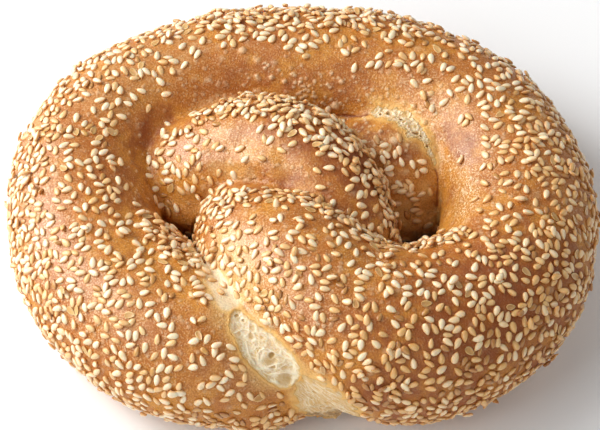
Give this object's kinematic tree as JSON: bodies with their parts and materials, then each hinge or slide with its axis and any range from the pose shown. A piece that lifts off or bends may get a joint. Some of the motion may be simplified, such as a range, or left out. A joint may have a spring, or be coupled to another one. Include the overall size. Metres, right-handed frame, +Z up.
{
  "type": "sesame pretzel",
  "caption": "Thick baked dough rope knotted into a soft pretzel with fused crossings, two through gaps and a flat underside.",
  "frame": {"origin": "centre of the bounding box on the baking tray, at the height of the flat underside", "axes": "+X along the pretzel's longest side, to the right of someone facing its front crossing; +Y from the front crossing to the belly; +Z up, away from the tray"},
  "size_m": [0.149, 0.1218, 0.0449],
  "materials": {
    "crust": "golden brown baked crust, matt with a soft sheen on its crests"
  },
  "bodies": {
    "root": {"pretzel": "crust"}
  },
  "joints": []
}
